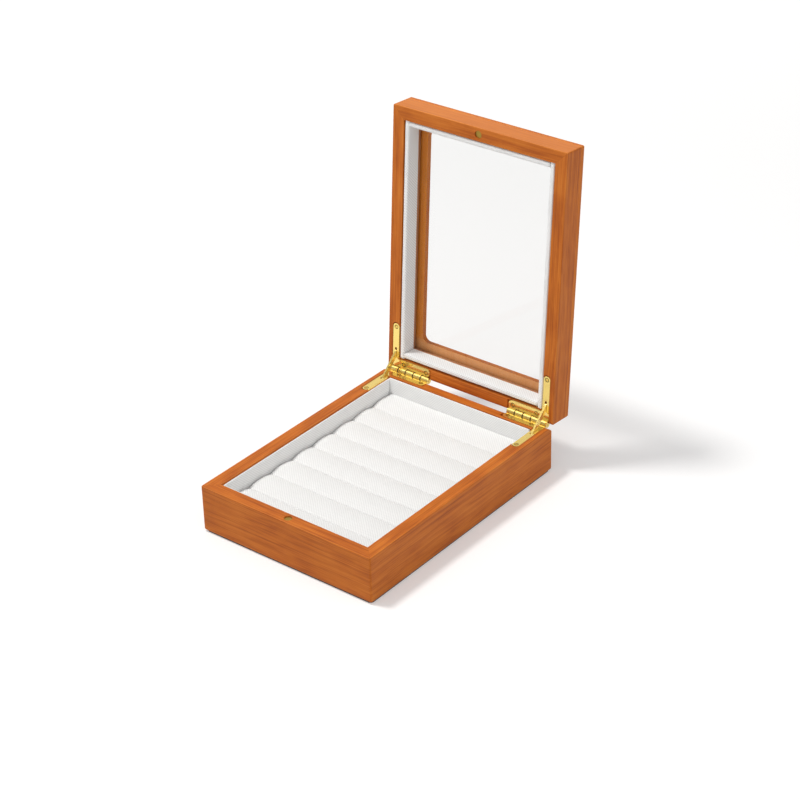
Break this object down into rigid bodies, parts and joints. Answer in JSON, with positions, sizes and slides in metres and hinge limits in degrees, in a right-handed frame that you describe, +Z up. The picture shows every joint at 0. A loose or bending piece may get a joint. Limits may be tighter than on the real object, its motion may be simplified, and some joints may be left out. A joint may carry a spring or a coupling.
{
  "type": "jewelry box",
  "caption": "Wooden ring box: a shallow lined base with padded ring rolls and a glazed lid on brass hinges with stays, shown standing open.",
  "frame": {"origin": "centre of the flat felt underside, on the surface that the box stands on", "axes": "+X to the right as seen from the front, +Y from the front to the hinged back, +Z up"},
  "size_m": [0.13, 0.2104, 0.2115],
  "materials": {
    "wood": "satin",
    "linen": "matte",
    "card": "matte",
    "felt": "matte",
    "glass": "gloss",
    "gold": "polished",
    "magnet": "satin"
  },
  "bodies": {
    "base": {"base_front_rail": "wood", "base_back_rail": "wood", "base_left_rail": "wood", "base_right_rail": "wood", "base_floor_panel": "wood", "base_felt_pad": "felt", "ring_tray_card": "card", "ring_roll_1": "linen", "ring_roll_2": "linen", "ring_roll_3": "linen", "ring_roll_4": "linen", "ring_roll_5": "linen", "ring_roll_6": "linen", "ring_roll_7": "linen", "ring_roll_8": "linen", "base_lining_front": "linen", "base_lining_back": "linen", "base_lining_left": "linen", "base_lining_right": "linen", "base_magnet": "magnet", "left_hinge_base_leaf": "gold", "left_hinge_pin": "gold", "left_hinge_base_screw_1": "gold", "left_hinge_base_screw_2": "gold", "left_hinge_base_screw_3": "gold", "right_hinge_base_leaf": "gold", "right_hinge_pin": "gold", "right_hinge_base_screw_1": "gold", "right_hinge_base_screw_2": "gold", "right_hinge_base_screw_3": "gold"},
    "lid": {"lid_front_rail": "wood", "lid_back_rail": "wood", "lid_left_rail": "wood", "lid_right_rail": "wood", "lid_window_panel": "wood", "lid_glass": "glass", "lid_lining_front": "linen", "lid_lining_back": "linen", "lid_lining_left": "linen", "lid_lining_right": "linen", "lid_magnet": "magnet", "left_hinge_lid_leaf": "gold", "left_stay_pivot": "gold", "left_hinge_lid_screw_1": "gold", "left_hinge_lid_screw_2": "gold", "left_hinge_lid_screw_3": "gold", "right_hinge_lid_leaf": "gold", "right_stay_pivot": "gold", "right_hinge_lid_screw_1": "gold", "right_hinge_lid_screw_2": "gold", "right_hinge_lid_screw_3": "gold"},
    "left_stay": {"left_stay": "gold", "left_stay_stop": "gold"},
    "right_stay": {"right_stay": "gold", "right_stay_stop": "gold"}
  },
  "joints": [
    {"name": "lid_hinge", "type": "hinge", "parent": "base", "child": "lid", "pos_m": [0, 0.09, 0.032], "axis": [1, 0, 0], "range_deg": [0, 94]},
    {"name": "left_stay_swing", "type": "hinge", "parent": "lid", "child": "left_stay", "pos_m": [-0.0591, 0.09176, 0.04391], "axis": [1, 0, 0], "range_deg": [-47, 0]},
    {"name": "right_stay_swing", "type": "hinge", "parent": "lid", "child": "right_stay", "pos_m": [0.0591, 0.09176, 0.04391], "axis": [1, 0, 0], "range_deg": [-47, 0]}
  ],
  "couplings": [
    {"joint": "left_stay_swing", "follows": "lid_hinge", "ratio": -0.5},
    {"joint": "right_stay_swing", "follows": "lid_hinge", "ratio": -0.5}
  ]
}
